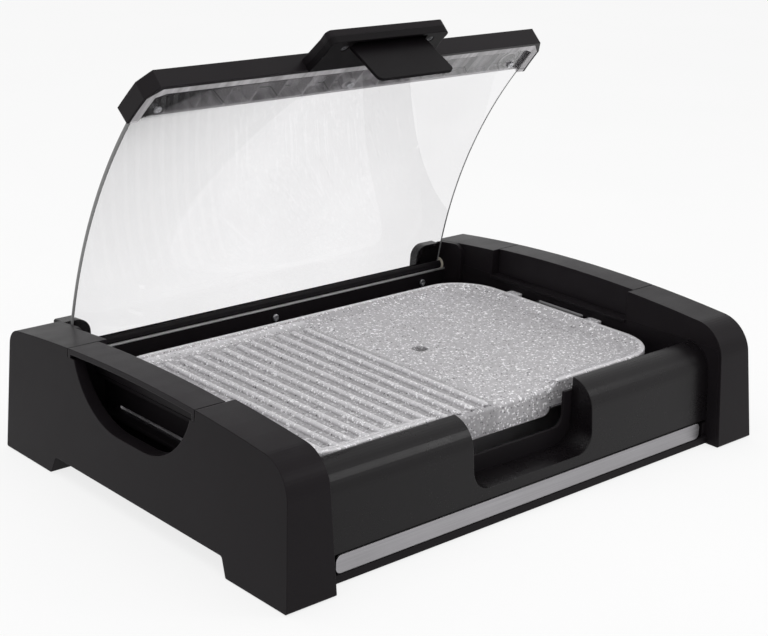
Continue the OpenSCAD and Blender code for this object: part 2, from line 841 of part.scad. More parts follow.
module grill_plate() {
  color("#b4b5b7")
  difference() {
    union() {
      translate([0, plate_y, 0]) {
        round_about(plate_w, plate_l, plate_r) plate_rim();
        block(plate_r - plate_w / 2, plate_r - plate_l / 2, plate_z - plate_t, plate_w / 2 - plate_r,
          plate_l / 2 - plate_r, plate_z);
      }
      ridges();
      heater_run(plate_w / 2 - over) translate([0, heater_z]) polygon(box_outline(
        -heater_d / 2 - heater_wall, -over, heater_d / 2 + heater_wall, plate_z - plate_t - heater_z + over, 0));
      probe_axis(plate_w / 2 - sensor_l) cylinder(h = sensor_l, d = boss_d);
      along_y(plate_y0, plate_y0 + skirt_t) polygon(rounded([[-lobe_w / 2, lobe_z, lobe_r],
        [lobe_w / 2, lobe_z, lobe_r], [lobe_w / 2, plate_z - plate_t, 0], [-lobe_w / 2, plate_z - plate_t, 0]]));
      for (y = ear_y)
        translate([0, y, 0]) along_z(plate_z + 1, plate_z + 1 + ear_t) polygon(box_outline(
          plate_w / 2 - ear_l, -ear_w / 2, plate_w / 2 + ear_l, ear_w / 2, 3));
    }
    heater_run(plate_w / 2 + over) translate([0, heater_z]) {
      circle(d = heater_d + 2 * heater_clear);
      translate([-heater_d / 2 - heater_clear, -10]) square([heater_d + 2 * heater_clear, 10]);
    }
    probe_axis(plate_w / 2 - sensor_l + 4) cylinder(h = sensor_l, d = sensor_d);
    translate([drain_x, drain_y, 0]) cylinder(h = tall, d = drain_d);
    guard_screw_places() cylinder(h = guard_screw_l + over, d = screw_d + 2 * screw_clear);
    rim_dip();
  }
}

module heating_element() {
  color("#6d6259")
  heater_run(plate_w / 2 + 3) translate([0, heater_z]) circle(d = heater_d);
}

// Repeats what is drawn at the probe axis for both pins
module pin_places() {
  for (s = [-1, 1])
    translate([0, s * pin_pitch / 2, 0]) probe_axis(plate_w / 2 + 3) children();
}

module terminal_pins() {
  color("#d0d1d3")
  pin_places() {
    cylinder(h = insulator_l, d = shank_d);
    translate([0, 0, insulator_l]) cylinder(h = pin_l - insulator_l, d = pin_d);
  }
}

module terminal_insulators() {
  color("#e9e4d8")
  pin_places() difference() {
    cylinder(h = insulator_l, d = insulator_d);
    translate([0, 0, -over]) cylinder(h = insulator_l + 2 * over, d = shank_d);
  }
}

module guard_screw_places() {
  for (s = [-1, 1])
    translate([plate_w / 2 + guard_t, heater_y + s * (guard_w / 2 - guard_screw_in), plate_z - guard_screw_down])
      rotate([0, -90, 0]) children();
}

// Sheet metal hood over the pins, open towards the temperature control
module probe_guard() {
  x0 = plate_w / 2;
  x1 = x0 + guard_l;
  y0 = heater_y - guard_w / 2;
  y1 = heater_y + guard_w / 2;
  z0 = skirt_z + 1;
  z1 = plate_z + guard_rise;
  color("#c3c4c6")
  difference() {
    block(x0, y0, z0, x1, y1, z1);
    block(x0 + guard_t, y0 + guard_t, z0 - over, x1 + over, y1 - guard_t, z1 - guard_t);
    pin_places() translate([0, 0, -5]) cylinder(h = 8, d = insulator_d + 2);
    probe_axis(x0 - over) cylinder(h = 4, d = sensor_d + 1);
    guard_screw_places() translate([0, 0, -over]) cylinder(h = 4, d = screw_d + 2 * screw_clear);
  }
}

module probe_guard_screws() {
  color("#8c8d90")
  guard_screw_places() screw(guard_screw_l);
}

// Lid

// Places what is drawn in the lid's own frame: -Y from the hinge to the tip, +Z outwards
module lid_pose() {
  translate([0, hinge_y, hinge_z]) rotate([-lid_pitch - lid_range, 0, 0]) children();
}

// Places what is drawn in the body's frame as it lies when the lid is closed
module closed_pose() {
  translate([0, hinge_y, hinge_z]) rotate([-lid_range, 0, 0]) translate([0, -hinge_y, -hinge_z]) children();
}

// A place on the glass, a degrees past its middle, with +Z along the outward normal
module at_arc(a) {
  translate([0, -lid_chord / 2, lid_sag - lid_r]) rotate([a, 0, 0]) translate([0, 0, lid_r]) children();
}

// A layer bent like the glass, from a0 to a1 degrees, n0 to n1 off its middle surface
module bent(a0, a1, n0, n1, x0, x1) {
  translate([0, -lid_chord / 2, lid_sag - lid_r]) rotate([0, 90, 0]) rotate([0, 0, 180 + a0])
    rotate_extrude(angle = a1 - a0, $fn = 360) translate([lid_r + n0, x0]) square([n1 - n0, x1 - x0]);
}

// The same layer over the whole width w
module bent_strip(s0, s1, n0, n1, w) {
  bent(lid_half + s0 * deg, lid_half + s1 * deg, n0, n1, -w / 2, w / 2);
}

// Plan of the tip with its corners cut off, drawn in by i; y is minus the distance past the glass
module tip_plan(i) {
  at_arc(lid_half) along_z(-60, 60) polygon([[-glass_w / 2 - frame_over + i, frame_l + over],
    [-glass_w / 2 - frame_over + 3 + i, frame_l / 4], [-glass_w / 2 - frame_over + glass_chamfer + i, -frame_top + i],
    [glass_w / 2 + frame_over - glass_chamfer - i, -frame_top + i], [glass_w / 2 + frame_over - 3 - i, frame_l / 4],
    [glass_w / 2 + frame_over - i, frame_l + over]]);
}

module frame_screw_places() {
  for (x = frame_screw_x)
    at_arc(lid_half - (frame_l - frame_screw_s) * deg)
      translate([x * (glass_w / 2 - frame_screw_in), 0, -glass_t / 2]) children();
}

module lid_glass() {
  color("#cfd8dc", 0.4)
  lid_pose() difference() {
    bent(-lid_half + glass_start * deg, lid_half, -glass_t / 2, glass_t / 2, -glass_w / 2, glass_w / 2);
    difference() {
      bent_strip(-frame_l, over, -glass_t, glass_t, glass_w + over);
      tip_plan(frame_over);
    }
    frame_screw_places() translate([0, 0, -over]) cylinder(h = glass_t + 2 * over, d = screw_d + 1);
  }
}

module frame_hollow() {
  w = glass_w - 2 * frame_over;
  difference() {
    bent_strip(-frame_l + frame_skin, -over, -glass_t, frame_t - frame_skin, w);
    for (x = [-w / 2 + frame_rib_pitch:frame_rib_pitch:w / 2 - frame_rib_pitch])
      bent(lid_half - frame_l * deg, lid_half, -glass_t, frame_t, x, x + frame_rib);
    frame_screw_places() cylinder(h = frame_t + glass_t, d = frame_boss_d);
  }
}

module lid_frame() {
  inside = glass_t / 2 + glass_gap;
  color("#1c1c1e")
  lid_pose() difference() {
    intersection() {
      bent_strip(-frame_l, frame_top, -frame_lip, frame_t, glass_w + 2 * frame_over);
      tip_plan(0);
    }
    intersection() {
      bent_strip(-frame_l - over, glass_gap, -inside, inside, glass_w + 2 * frame_over);
      tip_plan(frame_over - glass_gap);
    }
    intersection() {
      bent_strip(-frame_l - over, -frame_seat + 2, -frame_lip - over, 0, glass_w + 2 * frame_over);
      tip_plan(frame_over + frame_seat);
    }
    intersection() {
      frame_hollow();
      tip_plan(frame_over + frame_skin);
    }
    frame_screw_places() cylinder(h = frame_t - 1, d = screw_d + 2 * screw_clear);
  }
}

module lid_frame_screws() {
  color("#8c8d90")
  lid_pose() frame_screw_places() screw(frame_t - 2);
}

// Plan of the handle, wide where it meets the frame
module handle_plan(m0, m1) {
  lid_pose() at_arc(lid_half) along_z(m0, m1) polygon(rounded([[-handle_w / 2, -frame_top, 0],
    [-handle_w / 2 + 3, -frame_top - handle_l * 0.7, 5], [-handle_lip_w / 2, -frame_top - handle_l, 5],
    [handle_lip_w / 2, -frame_top - handle_l, 5], [handle_w / 2 - 3, -frame_top - handle_l * 0.7, 5],
    [handle_w / 2, -frame_top, 0]]));
}

// Pocket for the fingers between the apron and the lip
module finger_pocket() {
  lid_pose() at_arc(lid_half) along_z(-20, handle_top - handle_skin)
    polygon(box_outline(-handle_recess_w / 2, -frame_top - handle_l + 2.5, handle_recess_w / 2,
      -frame_top - handle_l + 11, 2));
}

module handle_screw_places() {
  for (s = [-1, 1])
    lid_pose() at_arc(lid_half) translate([s * handle_screw_x, -frame_top - handle_screw_s, -handle_under])
      children();
}

module lid_handle() {
  color("#1a1a1c")
  difference() {
    handle_plan(0, handle_top);
    finger_pocket();
    handle_screw_places() cylinder(h = handle_under + 4, d = screw_d + 2 * screw_clear);
  }
}

// Lower half of the handle with the apron that closes the notch in front of the plate
module handle_guard() {
  y1 = plate_y0 - apron_gap;
  color("#151517")
  difference() {
    union() {
      difference() {
        handle_plan(-handle_under, 0);
        finger_pocket();
      }
      difference() {
        closed_pose() along_y(y1 - apron_t, y1)
          polygon(rounded([[-apron_w / 2, apron_z, apron_r], [apron_w / 2, apron_z, apron_r],
            [apron_w / 2, hinge_z + apron_up, 0], [-apron_w / 2, hinge_z + apron_up, 0]]));
        lid_pose() at_arc(lid_half) along_z(0, tall) square(handle_w, center = true);
      }
    }
    handle_screw_places() translate([0, 0, -over]) cylinder(h = 20, d = screw_d + 2 * screw_clear);
    handle_screw_places() translate([0, 0, -over]) cylinder(h = screw_head + over, d = screw_head_d + 2 * screw_clear);
    closed_pose() block(-handle_w, plate_y0 - rim_gap, 0, handle_w, hinge_y - lid_chord / 2,
      plate_z + rim_rise + rim_gap);
  }
}

module handle_screws() {
  color("#8c8d90")
  handle_screw_places() translate([0, 0, screw_head]) screw(handle_under + 1);
}

// Round bar along the lower edge of the glass
module hinge_rail() {
  w = glass_w + 2;
  color("#1c1c1e")
  lid_pose() difference() {
    translate([-w / 2, 0, 0]) rotate([0, 90, 0]) cylinder(h = w, d = rail_d);
    bent(-lid_half + (glass_start - glass_gap) * deg, -lid_half + rail_d * deg, -glass_t / 2 - glass_gap,
      glass_t / 2 + glass_gap, -w / 2 - over, w / 2 + over);
    for (s = [0, 1])
      mirror([s, 0, 0]) translate([w / 2 - pin_l / 2, 0, 0]) rotate([0, 90, 0])
        cylinder(h = pin_l, d = hinge_pin_d);
  }
}

module hinge_pins() {
  w = glass_w + 2;
  color("#c9cacc")
  for (s = [0, 1])
    mirror([s, 0, 0]) translate([w / 2 - pin_l / 2, hinge_y, hinge_z]) rotate([0, 90, 0])
      cylinder(h = block_in + pin_end - w / 2 + pin_l / 2, d = hinge_pin_d);
}

left_end_cap();
right_end_cap();
left_grip();
right_grip();
left_inner_wall();
right_inner_wall();
front_panel();
front_inner_wall();
rear_panel();
rear_inner_wall();
rear_trim_strip();
bottom_cover();
rubber_feet();
left_tray_runner();
right_tray_runner();
left_hinge_bush();
right_hinge_bush();
heat_reflector();
rear_wall_screws();
case_screws();
grill_plate();
heating_element();
terminal_pins();
terminal_insulators();
probe_guard();
probe_guard_screws();
lid_glass();
lid_frame();
lid_handle();
handle_guard();
lid_frame_screws();
handle_screws();
hinge_rail();
hinge_pins();
drip_tray();
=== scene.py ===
"""Electric indoor grill with a hinged glass lid: its finishes and fine pieces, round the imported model."""

import json
import math

import bmesh
import bpy
import numpy as np
from bpy.props import FloatProperty, FloatVectorProperty, PointerProperty
from mathutils import Matrix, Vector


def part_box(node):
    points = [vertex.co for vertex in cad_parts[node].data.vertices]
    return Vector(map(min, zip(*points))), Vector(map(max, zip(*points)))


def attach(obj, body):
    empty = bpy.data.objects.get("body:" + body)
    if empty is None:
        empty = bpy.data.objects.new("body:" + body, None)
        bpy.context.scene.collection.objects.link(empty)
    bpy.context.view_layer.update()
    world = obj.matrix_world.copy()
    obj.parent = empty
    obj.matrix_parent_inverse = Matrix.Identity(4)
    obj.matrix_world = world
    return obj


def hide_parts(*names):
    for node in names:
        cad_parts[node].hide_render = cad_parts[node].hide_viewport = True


bl_info = {
    "name": "Indoor grill with a glass lid",
    "version": (1, 0, 0),
    "blender": (4, 5, 0),
    "location": "3D View > Sidebar > Grill",
    "description": "Dresses a countertop grill: mouldings, speckled plate, glass lid, screws, pads, pins",
    "category": "Object",
}

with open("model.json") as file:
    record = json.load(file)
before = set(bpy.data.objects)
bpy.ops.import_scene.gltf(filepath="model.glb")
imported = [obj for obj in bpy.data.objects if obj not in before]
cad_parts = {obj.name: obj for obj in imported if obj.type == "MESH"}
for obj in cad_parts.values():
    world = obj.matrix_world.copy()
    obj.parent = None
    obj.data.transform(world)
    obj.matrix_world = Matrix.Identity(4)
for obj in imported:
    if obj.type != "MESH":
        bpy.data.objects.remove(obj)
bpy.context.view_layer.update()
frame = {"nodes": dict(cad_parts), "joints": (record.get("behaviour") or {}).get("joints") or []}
NODES = frame["nodes"]
MM = 0.001
HINGE = next(np.array(j["pos_m"]) for j in frame["joints"] if j["name"] == "lid_hinge")

# Points closer than MERGE are one, and edges sharper than SHARP are shaded as edges
MERGE = 2e-6
SHARP = math.radians(38)

# Screws of the CAD model: how far each lies from the middle, and along or off the pane from its top edge
FRAME_SCREW_X = 194 * MM
FRAME_SCREW_IN = 29 * MM
HANDLE_SCREW_X = 46.5 * MM
HANDLE_SCREW_OUT = 32.7 * MM
HANDLE_SCREW_OFF = -4.6 * MM
REAR_SCREW_X = 186 * MM

# The pane narrows near its top edge: at these places along it, each side stands in by so much
TAPER_AT = np.array([-40.0, -9.75, -1.0]) * MM
TAPER_BY = np.array([0.0, 3.0, 12.0]) * MM

# The point that the camera looks at. For each lamp: name, place, aim, size and share of the lamps' strength.
TARGET = np.array([-11.375, 0.0, 115.575]) * MM
LAMPS = (
    ("top", (-0.1, 0.1, 1.5), (0, 0, 0.05), 1.3, 0.45),
    ("left", (-0.75, -0.85, 1.35), (0, 0, 0.08), 0.45, 0.25),
    ("right", (1.0, -1.1, 1.05), (0, 0, 0.08), 0.4, 0.3),
)


# Settings: sizes, colours and lights that a user would change


class GrillLid(bpy.types.PropertyGroup):
    """Sizes of the bent glass"""

    glass_thickness: FloatProperty(name="Glass thickness", description="Thickness of the pane",
                                   default=4 * MM, unit="LENGTH")
    glass_half_width: FloatProperty(name="Half width", description="Half of the width of the pane",
                                    default=214 * MM, unit="LENGTH")
    chord: FloatProperty(name="Chord", description="Distance from the hinge axis to the top edge of the pane",
                         default=269.545 * MM, unit="LENGTH")
    sag: FloatProperty(name="Sag", description="How far the pane bulges over its chord", default=21.7 * MM,
                       unit="LENGTH")
    tilt: FloatProperty(name="Tilt", description="Angle of the chord when the lid stands open",
                        default=math.radians(63.4), subtype="ANGLE")
    edge_round: FloatProperty(name="Ground edge", description="Depth of the rounded edge of the pane",
                              default=1.3 * MM, unit="LENGTH")


class GrillScrews(bpy.types.PropertyGroup):
    """Sizes of the screws"""

    thread_r: FloatProperty(name="Thread radius", description="Radius of the thread", default=1.5 * MM,
                            unit="LENGTH")
    head_r: FloatProperty(name="Head radius", description="Radius of the head", default=3.5 * MM,
                          unit="LENGTH")
    head_h: FloatProperty(name="Head height", description="Height of the head", default=2 * MM, unit="LENGTH")
    recess: FloatProperty(name="Recess depth", description="Depth of the cross recess", default=1.2 * MM,
                          unit="LENGTH")
    pitch: FloatProperty(name="Thread pitch", description="Distance between two turns of the thread",
                         default=1.0 * MM, unit="LENGTH")


class GrillColours(bpy.types.PropertyGroup):
    """Colours of the finishes"""

    moulding: FloatVectorProperty(name="Moulding", description="Black of the end caps and panels",
                                  subtype="COLOR", size=3, default=(0.009, 0.0074, 0.0086))
    grip: FloatVectorProperty(name="Grip", description="Black of the grip bars", subtype="COLOR", size=3,
                              default=(0.012, 0.0102, 0.0117))
    inner: FloatVectorProperty(name="Inner walls", description="Black of the walls round the well",
                               subtype="COLOR", size=3, default=(0.0075, 0.0062, 0.0073))
    # Painted reflection: this grey stands in for the glare seen on the black frame through the pane
    painted_glare_grey: FloatVectorProperty(name="Strip", description="Grey of the frame's underside behind the pane",
                                    subtype="COLOR", size=3, default=(0.5, 0.488, 0.5))
    plate: FloatVectorProperty(name="Plate", description="Grey of the plate's coating", subtype="COLOR",
                               size=3, default=(0.46, 0.448, 0.465))
    dark_fleck: FloatVectorProperty(name="Dark flecks", description="Dark flecks in the coating",
                                    subtype="COLOR", size=3, default=(0.06, 0.058, 0.062))
    # The light fleck colour is also the painted highlight on the plate's ridge tops and rim
    light_fleck_and_highlight: FloatVectorProperty(name="Light flecks", description="Light flecks in the coating",
                                     subtype="COLOR", size=3, default=(0.95, 0.94, 0.96))
    steel: FloatVectorProperty(name="Steel", description="Brushed steel of the tray", subtype="COLOR", size=3,
                               default=(0.34, 0.332, 0.345))
    ground: FloatVectorProperty(name="Ground edge", description="Grey of the glass's cut edges",
                                subtype="COLOR", size=3, default=(0.2, 0.2, 0.2))
    glass: FloatVectorProperty(name="Glass", description="Tint of the glass", subtype="COLOR", size=3,
                               default=(0.965, 0.96, 0.968))


class GrillStage(bpy.types.PropertyGroup):
    """Camera and light"""

    azimuth: FloatProperty(name="Azimuth", description="Turn of the camera about the object, from the front",
                           default=math.radians(-42.785), subtype="ANGLE")
    elevation: FloatProperty(name="Elevation", description="Height of the camera over the horizon",
                             default=math.radians(18.514), subtype="ANGLE")
    roll: FloatProperty(name="Roll", description="Tilt of the camera about its own axis",
                        default=math.radians(2.217), subtype="ANGLE")
    distance: FloatProperty(name="Distance", description="From the camera to the point that it looks at",
                            default=1.391, unit="LENGTH")
    focal: FloatProperty(name="Focal length", description="In millimetres, on a sensor 36 mm wide",
                         default=77.45)
    daylight: FloatProperty(name="Ambient light", description="Strength of the light from all round",
                            default=0.72)
    lamps: FloatProperty(name="Lamps", description="Strength of the lamps together, in watts", default=10.0)


# Surfaces: grids of points worked out as whole arrays


def mesh_from(name, verts, faces):
    """Makes an object at the origin from arrays of points and faces. Points that meet are merged, and the
    faces are turned outwards."""
    mesh = bpy.data.meshes.new(name)
    mesh.from_pydata(np.asarray(verts, float).reshape(-1, 3), [], faces)
    work = bmesh.new()
    work.from_mesh(mesh)
    bmesh.ops.remove_doubles(work, verts=work.verts, dist=MERGE)
    bmesh.ops.dissolve_degenerate(work, edges=work.edges, dist=MERGE / 2)
    bmesh.ops.recalc_face_normals(work, faces=work.faces)
    work.to_mesh(mesh)
    work.free()
    mesh.polygons.foreach_set("use_smooth", np.ones(len(mesh.polygons), bool))
    mesh.set_sharp_from_angle(angle=SHARP)
    made = bpy.data.objects.new(name, mesh)
    bpy.context.scene.collection.objects.link(made)
    return made


def grid_faces(rows, cols, first=0, ring_rows=False, ring_cols=True, caps=False):
    """Faces of a grid: each four neighbours (i, j), (i, j+1), (i+1, j+1), (i+1, j) make one, the last row or
    column joins the first where it is a ring, and caps close the first and the last row."""
    index = first + np.arange(rows * cols).reshape(rows, cols)
    wide = np.vstack([index, index[:1]]) if ring_rows else index
    wide = np.hstack([wide, wide[:, :1]]) if ring_cols else wide
    faces = np.stack([wide[:-1, :-1], wide[:-1, 1:], wide[1:, 1:], wide[1:, :-1]], -1).reshape(-1, 4).tolist()
    if caps:
        faces += [index[0][::-1].tolist(), index[-1].tolist()]
    return faces


def grids_piece(name, grids, **how):
    """One object from several closed grids of the same kind."""
    verts, faces, count = [], [], 0
    for grid in grids:
        rows, cols = grid.shape[:2]
        faces += grid_faces(rows, cols, count, **how)
        verts.append(grid.reshape(-1, 3))
        count += rows * cols
    return mesh_from(name, np.concatenate(verts), faces)


def axes_about(axis):
    """Two directions square to an axis and to each other, and the axis itself with length 1: the first is any
    vector less its part along the axis, the second their cross product."""
    w = np.asarray(axis, float) / np.linalg.norm(axis)
    near = np.eye(3)[np.argmin(np.abs(w))]
    u = near - (near @ w) * w
    u /= np.linalg.norm(u)
    return u, np.cross(w, u), w


def turned(profile, place, axis, sides=48, lift=None):
    """A profile of (radius, height) turned about an axis: point = place + r cos(t) u + r sin(t) v + h w.
    lift adds to the height as a function of x, y and the height itself."""
    u, v, w = axes_about(axis)
    t = np.linspace(0, 2 * np.pi, sides, endpoint=False)
    r, h = np.asarray(profile, float).T[:, :, None]
    x, y = r * np.cos(t), r * np.sin(t)
    h = h + np.zeros_like(x)
    if lift is not None:
        h = h + lift(x, y, h)
    return np.asarray(place) + x[..., None] * u + y[..., None] * v + h[..., None] * w


def placed(u, v, w, place):
    """The matrix whose columns are three directions and a place."""
    return Matrix(np.vstack([np.stack([u, v, w, place], 1), [0, 0, 0, 1]]).tolist())


def fall(t):
    """1 inside |t| < 0.8, 0 outside |t| > 1.2, and a smooth step 3s^2 - 2s^3 between them."""
    s = np.clip((1.2 - np.abs(t)) / 0.4, 0, 1)
    return s * s * (3 - 2 * s)


def screw_grid(place, axis, length, sizes):
    """A pan head with a cross recess and a ribbed thread, as one turned profile. The head's top is
    -H + 0.3 H (r/R)^3, the recess is D times the larger of two crossed bars of smooth steps, and the
    thread's radius is r0 - 0.12 r0 (1 - cos(2 pi h / pitch)) / 2."""
    big, head, thread = sizes.head_r, sizes.head_h, sizes.thread_r
    s = np.linspace(0, 1, 26)
    top = np.stack([s * big * 0.97, -head + 0.3 * head * s**3], 1)
    side = np.array([[big, -0.55 * head], [big, -0.12 * head], [0.96 * big, 0.0], [thread * 1.1, 0.0]])
    h = np.linspace(0.0, length - thread, max(12, int(10 * length / sizes.pitch)))
    ribs = np.stack([thread - 0.06 * thread * (1 - np.cos(2 * np.pi * h / sizes.pitch)), h], 1)
    tip = np.array([[0.45 * thread, length], [0.0, length]])

    def recess(x, y, z):
        """How much deeper the recess makes a point of the head's top."""
        bar, arm = 0.14 * big, 0.52 * big
        cross = np.maximum(fall(x / bar) * fall(y / arm), fall(y / bar) * fall(x / arm))
        slope = 1 - 0.45 * np.hypot(x, y) / arm
        return np.where(z < -0.6 * head, sizes.recess * cross * np.clip(slope, 0.2, 1), 0)

    return turned(np.concatenate([top, side, ribs, tip]), place, axis, 64, recess)


def lid_frame_of(lid):
    """Radius of the pane's arc and half of its angle: R = (c^2/4 + s^2) / (2 s) and sin(half) = c / (2 R)."""
    radius = (lid.chord**2 / 4 + lid.sag**2) / (2 * lid.sag)
    return radius, math.asin(lid.chord / 2 / radius)


def lid_points(lid, x, a, n):
    """Points of the open lid: across x, a radians past the middle of the arc and n off the glass's middle.
    Flat, y = -c/2 - (R + n) sin a and z = s - R + (R + n) cos a. The tilt turns both about the hinge."""
    radius, _ = lid_frame_of(lid)
    y = -lid.chord / 2 - (radius + n) * np.sin(a)
    z = lid.sag - radius + (radius + n) * np.cos(a)
    c, s = math.cos(-lid.tilt), math.sin(-lid.tilt)
    x, y, z = np.broadcast_arrays(x, HINGE[1] + y * c - z * s, HINGE[2] + y * s + z * c)
    return np.stack([x, y, z], -1)


def tip_axes(lid):
    """The middle of the pane's top edge, and the directions from there along the pane and off its face."""
    _, half = lid_frame_of(lid)
    tip = lid_points(lid, 0.0, half, 0.0)
    out = lid_points(lid, 0.0, half, 1.0) - tip
    along = np.cross((1.0, 0.0, 0.0), out)
    return tip, along * np.sign(along[2]), out


# Finishes: node materials

# Most values of a noise lie in the broad band. The narrow one gives patches with firmer edges.
BROAD = (0.3, 0.7)
NARROW = (0.35, 0.65)


def put(tree, kind, inputs=None, **settings):
    """Adds one node. An input given as a socket is linked to it, and any other value is set on it."""
    made = tree.nodes.new(kind)
    for key, value in settings.items():
        setattr(made, key, value)
    for key, value in (inputs or {}).items():
        socket = made.inputs[key]
        if isinstance(value, bpy.types.NodeSocket):
            tree.links.new(value, socket)
        else:
            socket.default_value = value
    return made


def maths(tree, operation, *values):
    """The result of one Math node."""
    return put(tree, "ShaderNodeMath", dict(enumerate(values)), operation=operation).outputs[0]


def vector_maths(tree, operation, output, a, b):
    """One output of a Vector Math node."""
    return put(tree, "ShaderNodeVectorMath", {0: a, 1: b}, operation=operation).outputs[output]


def new_finish(name, **constants):
    """A material with one Principled shader, whose constants are set on its own sockets."""
    made = bpy.data.materials.new(name)
    made.use_nodes = True
    tree = made.node_tree
    tree.nodes.clear()
    shader = put(tree, "ShaderNodeBsdfPrincipled", constants)
    out = put(tree, "ShaderNodeOutputMaterial", {"Surface": shader.outputs[0]})
    place = put(tree, "ShaderNodeTexCoord").outputs["Object"]
    return made, tree, shader, out, place


def place_in(tree):
    """The shaded point's place, as the finish's own patterns read it."""
    return next(n for n in tree.nodes if n.type == "TEX_COORD").outputs["Object"]


def noise(tree, place, scale, detail=3.0, roughness=0.5):
    """A cloudy pattern with values round 0.5."""
    return put(tree, "ShaderNodeTexNoise", {"Vector": place, "Scale": scale, "Detail": detail,
                                           "Roughness": roughness}).outputs["Fac"]


def spread(tree, value, low, high, to_low, to_high):
    """Maps low to high onto to_low to to_high, and holds what lies outside at these ends."""
    return put(tree, "ShaderNodeMapRange", {"Value": value, "From Min": low, "From Max": high,
                                           "To Min": to_low, "To Max": to_high}).outputs["Result"]


def under(tree, value, limit, fade):
    """1 where a value lies under a limit and 0 over it, with a ramp as wide as the fade on both sides."""
    return spread(tree, value, limit + fade, limit - fade, 0.0, 1.0)


def blend(tree, factor, a, b):
    """A colour between a and b, which are colours or sockets."""
    made = put(tree, "ShaderNodeMix", data_type="RGBA")
    for socket, value in ((made.inputs["Factor"], factor), (made.inputs[6], a), (made.inputs[7], b)):
        if isinstance(value, bpy.types.NodeSocket):
            tree.links.new(value, socket)
        else:
            socket.default_value = value if isinstance(value, float) else (*value, 1.0)[:4]
    return made.outputs[2]


def shade(colour, by):
    """A colour made darker or lighter by a factor."""
    return tuple(min(1.0, c * by) for c in colour)


def mottled(tree, pattern, band, colour, darkest, lightest):
    """A colour that a pattern varies from a darker to a lighter shade of it."""
    share = spread(tree, pattern, *band, 0.0, 1.0)
    return blend(tree, share, shade(colour, darkest), shade(colour, lightest))


def times(tree, *values):
    """The product of several sockets or numbers."""
    made = values[0]
    for value in values[1:]:
        made = maths(tree, "MULTIPLY", made, value)
    return made


def measured(tree, place, direction, origin):
    """How far a point lies from origin along a direction."""
    off = vector_maths(tree, "SUBTRACT", "Vector", place, tuple(origin))
    return vector_maths(tree, "DOT_PRODUCT", "Value", off, tuple(direction))


def lay(tree, shader, colour, pattern, smoothest, roughest):
    """Gives a shader its colour, and a roughness that a pattern varies."""
    tree.links.new(colour, shader.inputs["Base Color"])
    tree.links.new(spread(tree, pattern, *BROAD, smoothest, roughest), shader.inputs["Roughness"])


def emboss(tree, shader, height, depth, edge, strength=1.0):
    """Bumps a shader by a pattern of heights, and shades its edges round by the radius of their fillets."""
    soft = put(tree, "ShaderNodeBevel", {"Radius": edge}, samples=6).outputs["Normal"]
    bump = put(tree, "ShaderNodeBump", {"Strength": strength, "Distance": depth, "Height": height,
                                        "Normal": soft})
    tree.links.new(bump.outputs["Normal"], shader.inputs["Normal"])


def coloured_over(made, factor, colour):
    """Lays a colour over the one that a finish has, where the factor is above 0."""
    tree = made.node_tree
    base = next(n for n in tree.nodes if n.type == "BSDF_PRINCIPLED").inputs["Base Color"]
    tree.links.new(blend(tree, factor, base.links[0].from_socket, colour), base)


def moulded(name, colour, rough, grain=1600.0, depth=0.06 * MM, specular=0.08):
    """Injection-moulded plastic: a spark-eroded grain, faint flow marks and handling wear in its gloss."""
    made, tree, shader, _, place = new_finish(name, **{"Specular IOR Level": specular})
    flow = noise(tree, place, 7.0, 4.0, 0.6)
    fine = noise(tree, place, grain, 2.0, 0.6)
    rubbed = noise(tree, place, 28.0, 5.0, 0.65)
    flowed = mottled(tree, flow, NARROW, colour, 0.86, 1.16)
    dusted = blend(tree, spread(tree, fine, 0.35, 0.75, 0.0, 0.35), flowed, shade(colour, 1.9))
    lay(tree, shader, dusted, rubbed, rough - 0.045, rough + 0.045)
    emboss(tree, shader, fine, depth, 1 * MM)
    return made


def brushed(name, colour, rough, along=(1, 0, 0), edge=0.3 * MM):
    """Sheet metal brushed along one direction: stretched noise drives its colour, gloss and relief."""
    made, tree, shader, _, place = new_finish(name, Metallic=1.0)
    grain, stretch = 2600.0, 300
    scale = [grain / stretch if a else grain for a in along]
    line = put(tree, "ShaderNodeMapping", {"Vector": place, "Scale": scale}).outputs["Vector"]
    hair = noise(tree, line, 1.0, 4.0, 0.65)
    cloud = noise(tree, place, 14.0, 3.0, 0.5)
    tone = mottled(tree, hair, BROAD, colour, 0.8, 1.18)
    clouded = blend(tree, spread(tree, cloud, *NARROW, 0.0, 0.3), tone, shade(colour, 0.72))
    lay(tree, shader, clouded, hair, rough - 0.06, rough + 0.08)
    emboss(tree, shader, hair, 0.02 * MM, edge, 0.5)
    return made


def flecks(tree, place, scale, share, size):
    """Spots: the cells of a Voronoi pattern whose random value is under share, each within its own reach."""
    cells = put(tree, "ShaderNodeTexVoronoi", {"Vector": place, "Scale": scale, "Randomness": 1.0})
    chance = put(tree, "ShaderNodeSeparateColor", {"Color": cells.outputs["Color"]})
    chosen = spread(tree, chance.outputs["Red"], share, share * 0.85, 0.0, 1.0)
    reach = times(tree, chance.outputs["Green"], size)
    inside = maths(tree, "SUBTRACT", reach, cells.outputs["Distance"])
    return times(tree, chosen, spread(tree, inside, 0.0, 0.08, 0.0, 1.0))


